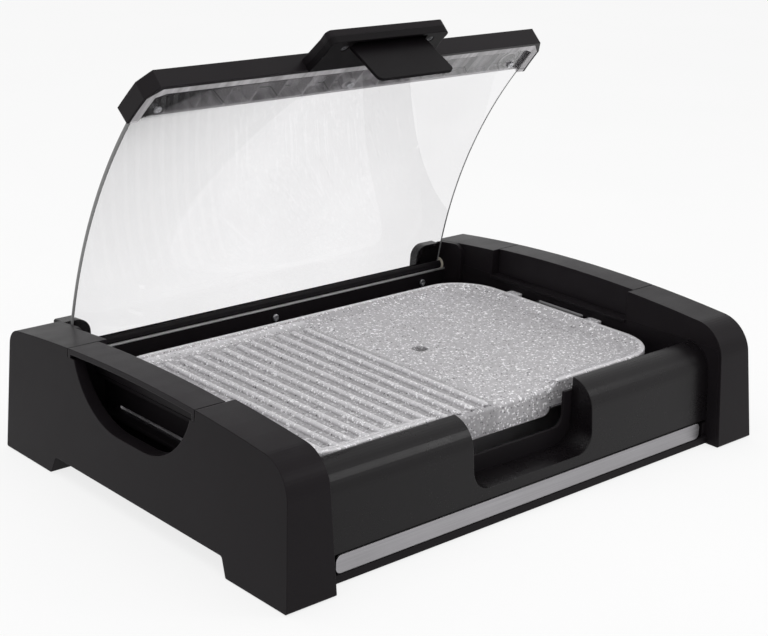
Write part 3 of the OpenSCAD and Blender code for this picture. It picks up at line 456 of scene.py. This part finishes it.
def speckled(name, colours):
    """Stone-look coating: a clouded grey with small dark and light flecks, slightly pebbled. The flecks'
    outlines are bent by a noise, so that they aren't round."""
    made, tree, shader, _, place = new_finish(name, **{"Specular IOR Level": 0.45})
    warp = put(tree, "ShaderNodeTexNoise", {"Vector": place, "Scale": 900.0, "Detail": 2.0})
    shift = vector_maths(tree, "MULTIPLY", "Vector", warp.outputs["Color"], (1.2 * MM,) * 3)
    bent = vector_maths(tree, "ADD", "Vector", place, shift)
    cloud = noise(tree, place, 260.0, 5.0, 0.7)
    pale, dark = tuple(colours.light_fleck_and_highlight), tuple(colours.dark_fleck)
    layers = ((620.0, 0.5, 0.7, pale), (330.0, 0.16, 0.62, pale), (480.0, 0.3, 0.5, dark))
    stone = mottled(tree, cloud, NARROW, colours.plate, 0.84, 1.14)
    for scale, share, size, fleck in layers:
        stone = blend(tree, flecks(tree, bent, scale, share, size), stone, fleck)
    lay(tree, shader, stone, cloud, 0.36, 0.5)
    emboss(tree, shader, noise(tree, place, 1100.0, 2.0, 0.6), 0.06 * MM, 0.8 * MM)
    return made


def plate_stone(name, colours, top):
    """The plate's coating, with painted shade in the valleys between the ridges, and painted highlights
    towards the tops of the ridges and on the rim. Heights are measured from the rim's top; the ridges are in
    the left half."""
    made = speckled(name, colours)
    tree = made.node_tree
    place = place_in(tree)
    height = measured(tree, place, (0, 0, 1), top)
    face, ridge, most = -4.4 * MM, -1.4 * MM, 0.4
    ridged = under(tree, measured(tree, place, (1, 0, 0), (0, 0, 0)), 0.0, 1 * MM)
    # Painted shade: the valleys between the ridges are darkened
    valleys = times(tree, ridged, spread(tree, height, face + 0.3 * MM, face, 0, most))
    # Painted highlight: lighter towards the tops of the ridges
    rising = spread(tree, height, face + 0.2 * MM, ridge - 0.6 * MM, 0, most)
    tops = times(tree, ridged, rising, under(tree, height, ridge + 0.2 * MM, 0.1 * MM))
    # Painted highlight along the top of the rim
    rim = spread(tree, height, -0.5 * MM, -0.15 * MM, 0, most)
    coloured_over(made, valleys, shade(colours.plate, 0.45))
    coloured_over(made, tops, tuple(colours.light_fleck_and_highlight))
    coloured_over(made, rim, tuple(colours.light_fleck_and_highlight))
    return made


def clear_glass(name, tint):
    """Soda-lime glass with a faint clouding in its tint, which lets the lamps' light through."""
    constants = {"Transmission Weight": 1.0, "IOR": 1.5, "Roughness": 0.0}
    made, tree, shader, out, place = new_finish(name, **constants)
    cloud = noise(tree, place, 9.0, 3.0, 0.5)
    tree.links.new(mottled(tree, cloud, BROAD, tint, 0.97, 1.02), shader.inputs["Base Color"])
    through = put(tree, "ShaderNodeBsdfTransparent", {"Color": (*shade(tint, 0.93), 1.0)})
    shadow = put(tree, "ShaderNodeLightPath").outputs["Is Shadow Ray"]
    mixed = put(tree, "ShaderNodeMixShader", {0: shadow, 1: shader.outputs[0], 2: through.outputs[0]})
    tree.links.new(mixed.outputs[0], out.inputs["Surface"])
    return made


def painted_hollow_glare(tree, place, x, s, grey):
    """A painted reflection in the frame's hollow: a grey that stands in for the glare seen on the black frame
    through the pane, with streaks across it, rings of sin(2 pi d / 5 mm) round the outer screws, dark dashes
    near its lower edge and a bright line on that."""
    stretched = put(tree, "ShaderNodeMapping", {"Vector": place, "Scale": (120.0, 9.0, 9.0)})
    streak = noise(tree, stretched.outputs["Vector"], 1.0, 4.0, 0.6)
    # Painted reflection: a streaked grey in place of the glare on the black frame
    strip = mottled(tree, streak, (0.34, 0.66), grey, 0.72, 1.3)

    flat = put(tree, "ShaderNodeCombineXYZ", {0: x, 1: s}).outputs[0]
    d = vector_maths(tree, "DISTANCE", "Value", flat, (FRAME_SCREW_X, -FRAME_SCREW_IN, 0))
    wave = maths(tree, "SINE", times(tree, d, 2 * math.pi / (5 * MM)))
    rings = times(tree, spread(tree, wave, 0.1, 0.6, 0, 0.8), under(tree, d, 14 * MM, 1 * MM))

    row = maths(tree, "COMPARE", s, -33.5 * MM, 0.6 * MM)
    dashes = times(tree, row, spread(tree, noise(tree, place, 38.0, 1.0), 0.5, 0.53, 0, 0.85))
    edge = spread(tree, s, -36.4 * MM, -36.9 * MM, 0, 0.7)
    for factor, by in ((rings, 0.3), (dashes, 0.3), (edge, 1.7)):
        strip = blend(tree, factor, strip, shade(grey, by))
    return strip


def frame_black(name, colours, lid):
    """The lid frame's plastic, with a painted reflection in its ribbed hollow where the pane covers it: a
    grey that stands in for glare seen through the pane. With s along the pane and n off it, both from its top
    edge, a point lies n + s^2 / (2 R) off the pane's arc.
    The cover's sides run along the pane's own taper: |x| + slope s stays under a limit."""
    made = moulded(name, tuple(colours.moulding), 0.34, depth=0.04 * MM, specular=0.12)
    tree = made.node_tree
    place = place_in(tree)
    tip, along, out = tip_axes(lid)
    radius, _ = lid_frame_of(lid)
    x = maths(tree, "ABSOLUTE", measured(tree, place, (1, 0, 0), tip))
    s = measured(tree, place, along, tip)
    n = maths(tree, "ADD", measured(tree, place, out, tip), times(tree, s, s, 0.5 / radius))
    side_slope, corner_slope = np.diff(TAPER_BY) / np.diff(TAPER_AT)
    side = maths(tree, "MULTIPLY_ADD", s, side_slope, x)
    corner = maths(tree, "MULTIPLY_ADD", s, corner_slope, x)
    limits = ((s, 0.5 * MM), (n, 10.5 * MM), (corner, 203.5 * MM), (side, 212.6 * MM))
    covered = times(tree, *(under(tree, value, limit, 0.1 * MM) for value, limit in limits))
    # Painted reflection laid over the black where the pane covers the hollow
    coloured_over(made, covered, painted_hollow_glare(tree, place, x, s, tuple(colours.painted_glare_grey)))
    return made


def heat_tinted(name, colour):
    """Sheath of a heating tube: brown to blue oxide clouds on a dull grey steel."""
    made, tree, shader, _, place = new_finish(name, Metallic=0.7)
    cloud = noise(tree, place, 60.0, 5.0, 0.65)
    oxide = blend(tree, spread(tree, cloud, 0.35, 0.6, 0.0, 1.0), colour, (0.09, 0.1, 0.14))
    dust = spread(tree, noise(tree, place, 700.0), 0.4, 0.8, 0.0, 0.6)
    lay(tree, shader, blend(tree, dust, oxide, (0.2, 0.19, 0.18)), cloud, 0.42, 0.62)
    return made


def fired(name, colour):
    """Unglazed ceramic: a warm white with fine pores."""
    made, tree, shader, _, place = new_finish(name, **{"Specular IOR Level": 0.3})
    pores = noise(tree, place, 1900.0, 3.0, 0.7)
    lay(tree, shader, mottled(tree, pores, BROAD, colour, 0.82, 1.05), pores, 0.7, 0.85)
    emboss(tree, shader, pores, 0.05 * MM, 0.4 * MM)
    return made


def dress(finish, *names):
    """Puts a finish on CAD nodes by their material slots."""
    for name in names:
        NODES[name].material_slots[0].material = finish


def finished(piece, finish, body, stands_for):
    """Gives a new piece its finish and its body, and hides the CAD node that it stands for."""
    piece.data.materials.append(finish)
    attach(piece, body)
    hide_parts(stands_for)


# Operators: one for each piece or group of like pieces


class GRILL_OT_mouldings(bpy.types.Operator):
    """Black plastic of the end caps, grips, walls and panels"""

    bl_idname = "grill.mouldings"
    bl_label = "Mouldings"

    def execute(self, context):
        colours = context.scene.grill_colours
        cap, inner = tuple(colours.moulding), tuple(colours.inner)
        dress(moulded("end_cap_black", cap, 0.36), "left_end_cap", "right_end_cap")
        dress(moulded("grip_black", tuple(colours.grip), 0.36, depth=0.05 * MM), "left_grip", "right_grip")
        dress(moulded("panel_black", shade(cap, 0.55), 0.28, depth=0.04 * MM, specular=0.2),
              "front_panel", "rear_panel")
        dress(moulded("well_black", inner, 0.5), "left_inner_wall", "right_inner_wall", "front_inner_wall",
              "rear_inner_wall")
        dress(moulded("cover_black", inner, 0.55, grain=1100.0, depth=0.1 * MM), "bottom_cover")
        dress(moulded("bush_ivory", (0.62, 0.57, 0.47), 0.5), "left_hinge_bush", "right_hinge_bush")
        return {"FINISHED"}


class GRILL_OT_lid_mouldings(bpy.types.Operator):
    """Black plastic of the lid's frame, handle and hinge rail, with a painted reflection in the frame's
    hollow behind the pane and painted shade on the guard under the handle
    """

    bl_idname = "grill.lid_mouldings"
    bl_label = "Lid mouldings"

    def execute(self, context):
        colours = context.scene.grill_colours
        dress(frame_black("frame_black", colours, context.scene.grill_lid), "lid_frame")
        dress(moulded("handle_black", tuple(colours.moulding), 0.34, depth=0.04 * MM), "lid_handle")
        # Painted shade: the guard under the handle is darker than the other inner black
        dress(moulded("handle_guard_painted_shade", shade(colours.inner, 0.6), 0.42, specular=0.06), "handle_guard")
        dress(moulded("rail_black", tuple(colours.inner), 0.42), "hinge_rail")
        return {"FINISHED"}


class GRILL_OT_metals(bpy.types.Operator):
    """Metal of the tray, its runners, the bright strip, the reflector and the guard, and the heating tube"""

    bl_idname = "grill.metals"
    bl_label = "Metals"

    def execute(self, context):
        steel = tuple(context.scene.grill_colours.steel)
        deep = (0, 1, 0)
        dress(brushed("tray_steel_brushed", steel, 0.34), "drip_tray")
        dress(brushed("runner_steel", shade(steel, 0.9), 0.36, deep), "left_tray_runner", "right_tray_runner")
        dress(brushed("strip_bright", (0.93, 0.92, 0.93), 0.42), "rear_trim_strip")
        dress(brushed("reflector_sheet", shade(steel, 1.2), 0.4, deep), "heat_reflector")
        dress(brushed("guard_sheet", shade(steel, 0.55), 0.42, deep), "probe_guard")
        dress(brushed("hinge_pin_steel", shade(steel, 1.3), 0.2), "hinge_pins")
        dress(heat_tinted("heater_oxide", (0.16, 0.12, 0.09)), "heating_element")
        return {"FINISHED"}


class GRILL_OT_plate(bpy.types.Operator):
    """Speckled coating of the grill plate, with painted shade in its valleys and painted highlights on its
    ridge tops and rim
    """

    bl_idname = "grill.plate"
    bl_label = "Grill plate"

    def execute(self, context):
        _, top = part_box("grill_plate")
        dress(plate_stone("plate_stone", context.scene.grill_colours, top), "grill_plate")
        return {"FINISHED"}


class GRILL_OT_pane(bpy.types.Operator):
    """The bent pane: a flat oval section (x, n) = (half - e + e cos(t), h sin(t)), kept flat between its two
    rounded edges and carried along the arc of the lid, narrowing near the tip"""

    bl_idname = "grill.pane"
    bl_label = "Glass pane"

    def execute(self, context):
        lid, colours = context.scene.grill_lid, context.scene.grill_colours
        radius, half = lid_frame_of(lid)
        from_hinge, from_tip = 2.5 * MM, 1 * MM
        a = np.linspace(-half + from_hinge / radius, half - from_tip / radius, 161)
        wide = lid.glass_half_width - np.interp((a - half) * radius, TAPER_AT, TAPER_BY)
        t = np.linspace(-np.pi / 2, np.pi / 2, 13)
        across = lid.edge_round * (np.cos(t) - 1)
        off = lid.glass_thickness / 2 * np.sin(t)
        x = np.concatenate([wide[:, None] + across, -wide[:, None] - across[::-1]], 1)
        n = np.concatenate([off, off[::-1]])[None, :] + np.zeros_like(x)
        pane = grids_piece("lid_pane", [lid_points(lid, x, a[:, None], n)], caps=True)
        finished(pane, clear_glass("pane_glass", tuple(colours.glass)), "lid", "lid_glass")
        self.grind_sides(pane, tuple(colours.ground))
        return {"FINISHED"}

    def grind_sides(self, pane, grey):
        """Gives the faces that look sideways a ground finish of their own."""
        pane.data.materials.append(moulded("pane_ground_edge", grey, 0.5, specular=0.4))
        normals = np.zeros(3 * len(pane.data.polygons))
        pane.data.polygons.foreach_get("normal", normals)
        sideways = np.abs(normals.reshape(-1, 3)[:, 0]) > 0.5
        pane.data.polygons.foreach_set("material_index", sideways.astype(np.int32))


class GRILL_OT_screws(bpy.types.Operator):
    """Cross-head screws of the lid frame, the handle, the rear wall, the bottom cover and the guard"""

    bl_idname = "grill.screws"
    bl_label = "Screws"

    def execute(self, context):
        sizes, lid = context.scene.grill_screws, context.scene.grill_lid
        head, head_r = sizes.head_h, sizes.head_r
        zinc = brushed("screw_zinc", (0.55, 0.55, 0.57), 0.28, (0, 0, 0), 0.2 * MM)
        dark = brushed("screw_black_zinc", (0.1, 0.1, 0.105), 0.3, (0, 0, 0), 0.2 * MM)

        radius, half = lid_frame_of(lid)
        at = half - FRAME_SCREW_IN / radius
        across = np.array([-FRAME_SCREW_X, 0, FRAME_SCREW_X])
        here = lid_points(lid, across, np.array(at), np.array(-lid.glass_thickness / 2))
        out = lid_points(lid, 0.0, at, 1.0) - lid_points(lid, 0.0, at, 0.0)
        self.add_screws("lid_frame_screw_heads", here, out, 9.5 * MM, sizes, zinc, "lid", "lid_frame_screws")

        tip, along, out = tip_axes(lid)
        spot = tip + along * HANDLE_SCREW_OUT + out * HANDLE_SCREW_OFF
        here = [spot + np.array([x, 0, 0]) for x in (-HANDLE_SCREW_X, HANDLE_SCREW_X)]
        self.add_screws("handle_screw_heads", here, out, 7.6 * MM, sizes, dark, "lid", "handle_screws")

        low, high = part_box("rear_wall_screws")
        here = [(x, low[1] + head, (low[2] + high[2]) / 2) for x in (-REAR_SCREW_X, 0, REAR_SCREW_X)]
        length = high[1] - low[1] - head
        self.add_screws("rear_wall_screw_heads", here, (0, 1, 0), length, sizes, zinc, "base",
                        "rear_wall_screws")

        low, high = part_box("case_screws")
        here = [(x, y, low[2] + head) for x in (low[0] + head_r, high[0] - head_r)
                for y in (low[1] + head_r, high[1] - head_r)]
        length = high[2] - low[2] - head
        self.add_screws("case_screw_heads", here, (0, 0, 1), length, sizes, zinc, "base", "case_screws")

        low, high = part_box("probe_guard_screws")
        here = [(high[0] - head, y, (low[2] + high[2]) / 2) for y in (low[1] + head_r, high[1] - head_r)]
        length = high[0] - low[0] - head
        self.add_screws("guard_screw_heads", here, (-1, 0, 0), length, sizes, zinc, "base",
                        "probe_guard_screws")
        return {"FINISHED"}

    def add_screws(self, name, places, axis, length, sizes, finish, body, stands_for):
        """One object with a screw at each place."""
        grids = [screw_grid(place, axis, length, sizes) for place in places]
        finished(grids_piece(name, grids), finish, body, stands_for)


class GRILL_OT_pads(bpy.types.Operator):
    """Rubber pads: a turned disc whose underside waves in rings, h = D (1 - cos(2 pi (s - S) / P)) / 2 out to
    the radius S, where its rounded rim begins"""

    bl_idname = "grill.pads"
    bl_label = "Rubber pads"

    def execute(self, context):
        low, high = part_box("rubber_feet")
        r, tall, ring, deep = 9 * MM, 3 * MM, 2 * MM, 0.25 * MM
        rounding, bevel = 0.8 * MM, 0.1 * MM
        s = np.linspace(0, r - rounding, 60)
        wave = np.cos(2 * np.pi * (s - r + rounding) / ring)
        face = np.stack([s, deep / 2 * (1 - wave)], 1)
        rim = np.array([[r - deep, deep], [r, rounding], [r, tall - bevel], [r - bevel, tall], [0, tall]])
        spots = [(x, y, low[2]) for x in (low[0] + r, high[0] - r) for y in (low[1] + r, high[1] - r)]
        grids = [turned(np.concatenate([face, rim]), spot, (0, 0, 1), 56) for spot in spots]
        rubber = moulded("pad_rubber_grey", (0.03, 0.03, 0.032), 0.78, 900.0, 0.1 * MM, 0.3)
        finished(grids_piece("rubber_pads", grids), rubber, "base", "rubber_feet")
        return {"FINISHED"}


class GRILL_OT_terminals(bpy.types.Operator):
    """Terminal pins with rounded ends and their ribbed insulators, as turned profiles. A rib is
    D (1 - cos(2 pi h / (L / 3))) / 2 deep, and the ends are rounded by E (exp(-h / F) + exp(-(L - h) / F))"""

    bl_idname = "grill.terminals"
    bl_label = "Terminals"

    def execute(self, context):
        low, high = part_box("terminal_pins")
        length = high[0] - low[0]
        r, shank, neck = 3 * MM, 2.2 * MM, 7 * MM
        step, rounding = 0.3 * MM, 1.6 * MM
        t = np.linspace(0, np.pi / 2, 10)
        tip = np.stack([r - rounding * (1 - np.cos(t)), length - rounding * (1 - np.sin(t))], 1)
        foot = [[0, 0], [shank, 0], [shank, neck], [r - step, neck], [r, neck + step]]
        profile = np.concatenate([foot, tip, [[0, length]]])
        spots = [(low[0], y, (low[2] + high[2]) / 2) for y in (low[1] + r, high[1] - r)]
        pins = [turned(profile, spot, (1, 0, 0)) for spot in spots]
        bright = brushed("pin_nickel", (0.7, 0.68, 0.64), 0.18, (1, 0, 0))
        finished(grids_piece("pin_bodies", pins), bright, "base", "terminal_pins")

        low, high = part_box("terminal_insulators")
        length, r, bore = high[0] - low[0], (high[2] - low[2]) / 2, shank + 0.1 * MM
        h = np.linspace(0, length, 40)
        ribs = 0.35 * MM * (1 - np.cos(2 * np.pi * h / (length / 3))) / 2
        ends = 0.5 * MM * (np.exp(-h / (0.25 * MM)) + np.exp(-(length - h) / (0.25 * MM)))
        profile = np.concatenate([[[bore, 0]], np.stack([r - ribs - ends, h], 1), [[bore, length]]])
        grids = [turned(profile, (low[0], y, z), (1, 0, 0)) for _, y, z in spots]
        beads = grids_piece("insulator_beads", grids, ring_rows=True)
        ceramic = fired("insulator_ceramic", (0.8, 0.77, 0.7))
        finished(beads, ceramic, "base", "terminal_insulators")
        return {"FINISHED"}


class GRILL_OT_stage(bpy.types.Operator):
    """Camera, floor, lamps and the light from all round"""

    bl_idname = "grill.stage"
    bl_label = "Stage"

    def execute(self, context):
        stage = context.scene.grill_stage
        self.add_camera(context.scene, stage)
        self.add_floor()
        self.add_world(context.scene, stage.daylight)
        for name, place, aim, size, share in LAMPS:
            self.add_lamp(name, place, aim, size, stage.lamps * share)
        context.scene.view_settings.view_transform = "Standard"
        return {"FINISHED"}

    def add_camera(self, scene, stage):
        """A camera that looks at the target from the stage's angles and distance, rolled about its axis."""
        a, e = stage.azimuth, stage.elevation
        back = np.array([math.sin(a) * math.cos(e), -math.cos(a) * math.cos(e), math.sin(e)])
        right = np.cross(-back, (0, 0, 1))
        right /= np.linalg.norm(right)
        up = np.cross(right, -back)
        c, s = math.cos(stage.roll), math.sin(stage.roll)
        rolled_right, rolled_up = right * c + up * s, up * c - right * s
        lens = bpy.data.cameras.new("view")
        lens.sensor_width, lens.lens = 36.0, stage.focal
        lens.clip_start, lens.clip_end = 0.05, 50.0
        camera = bpy.data.objects.new("view", lens)
        camera.matrix_world = placed(rolled_right, rolled_up, back, TARGET + back * stage.distance)
        scene.collection.objects.link(camera)
        scene.camera = camera

    def add_floor(self):
        """A pale matt floor, which looks as white as the background where it is seen."""
        t = np.linspace(-5.0, 5.0, 9)
        x, y = np.meshgrid(t, t, indexing="ij")
        floor = mesh_from("floor", np.stack([x, y, np.zeros_like(x)], -1), grid_faces(9, 9, ring_cols=False))
        pale = bpy.data.materials.new("floor_pale")
        pale.use_nodes = True
        tree = pale.node_tree
        tree.nodes.clear()
        place = put(tree, "ShaderNodeTexCoord").outputs["Object"]
        cloud = spread(tree, noise(tree, place, 3.0), *BROAD, 0.0, 1.0)
        soft = blend(tree, cloud, (0.9, 0.9, 0.9), (0.94, 0.94, 0.94))
        matt = put(tree, "ShaderNodeBsdfDiffuse", {"Color": soft})
        glow = put(tree, "ShaderNodeEmission", {"Color": (1, 1, 1, 1), "Strength": 1.0})
        share = times(tree, self.seen(tree), 0.8)
        mixed = put(tree, "ShaderNodeMixShader", {0: share, 1: matt.outputs[0], 2: glow.outputs[0]})
        put(tree, "ShaderNodeOutputMaterial", {"Surface": mixed.outputs[0]})
        floor.data.materials.append(pale)

    def add_world(self, scene, daylight):
        """Light of one strength from all round, behind a background that is seen as white."""
        world = bpy.data.worlds.new("studio")
        world.use_nodes = True
        tree = world.node_tree
        tree.nodes.clear()
        light = put(tree, "ShaderNodeBackground", {"Color": (1, 1, 1, 1), "Strength": daylight}).outputs[0]
        white = put(tree, "ShaderNodeBackground", {"Color": (1, 1, 1, 1), "Strength": 1.0}).outputs[0]
        mixed = put(tree, "ShaderNodeMixShader", {0: self.seen(tree), 1: light, 2: white})
        put(tree, "ShaderNodeOutputWorld", {"Surface": mixed.outputs[0]})
        scene.world = world

    def seen(self, tree):
        """1 for the rays that show a background: from the camera, a gloss or through glass."""
        rays = put(tree, "ShaderNodeLightPath").outputs
        straight = maths(tree, "MAXIMUM", rays["Is Camera Ray"], rays["Is Glossy Ray"])
        return maths(tree, "MAXIMUM", straight, rays["Is Transmission Ray"])

    def add_lamp(self, name, place, aim, size, power):
        """A square lamp at place that looks at aim."""
        data = bpy.data.lights.new(name, "AREA")
        data.shape, data.size, data.energy = "SQUARE", size, power
        made = bpy.data.objects.new(name, data)
        u, v, w = axes_about(np.asarray(place, float) - np.asarray(aim, float))
        made.matrix_world = placed(u, v, w, place)
        bpy.context.scene.collection.objects.link(made)


class GRILL_PT_panel(bpy.types.Panel):
    """Lists the grill's operators and sizes"""

    bl_label = "Grill"
    bl_idname = "GRILL_PT_panel"
    bl_space_type = "VIEW_3D"
    bl_region_type = "UI"
    bl_category = "Grill"

    def draw(self, context):
        for operator in OPERATORS:
            self.layout.operator(operator.bl_idname)
        for group in ("grill_lid", "grill_screws", "grill_colours", "grill_stage"):
            box = self.layout.box()
            data = getattr(context.scene, group)
            for name in data.bl_rna.properties.keys():
                if name not in ("rna_type", "name"):
                    box.prop(data, name)


GROUPS = {"grill_lid": GrillLid, "grill_screws": GrillScrews, "grill_colours": GrillColours,
          "grill_stage": GrillStage}
OPERATORS = (GRILL_OT_mouldings, GRILL_OT_lid_mouldings, GRILL_OT_metals, GRILL_OT_plate, GRILL_OT_pane,
             GRILL_OT_screws, GRILL_OT_pads, GRILL_OT_terminals, GRILL_OT_stage)


def register():
    """Adds the classes and their settings on the scene."""
    for kind in (*GROUPS.values(), *OPERATORS, GRILL_PT_panel):
        bpy.utils.register_class(kind)
    for name, group in GROUPS.items():
        setattr(bpy.types.Scene, name, PointerProperty(type=group))


def unregister():
    """Takes them away again."""
    for name in GROUPS:
        delattr(bpy.types.Scene, name)
    for kind in reversed((*GROUPS.values(), *OPERATORS, GRILL_PT_panel)):
        bpy.utils.unregister_class(kind)


def main():
    """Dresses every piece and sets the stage."""
    register()
    bpy.ops.grill.mouldings()
    bpy.ops.grill.lid_mouldings()
    bpy.ops.grill.metals()
    bpy.ops.grill.plate()
    bpy.ops.grill.pane()
    bpy.ops.grill.screws()
    bpy.ops.grill.pads()
    bpy.ops.grill.terminals()
    bpy.ops.grill.stage()


if __name__ == "__main__":
    main()
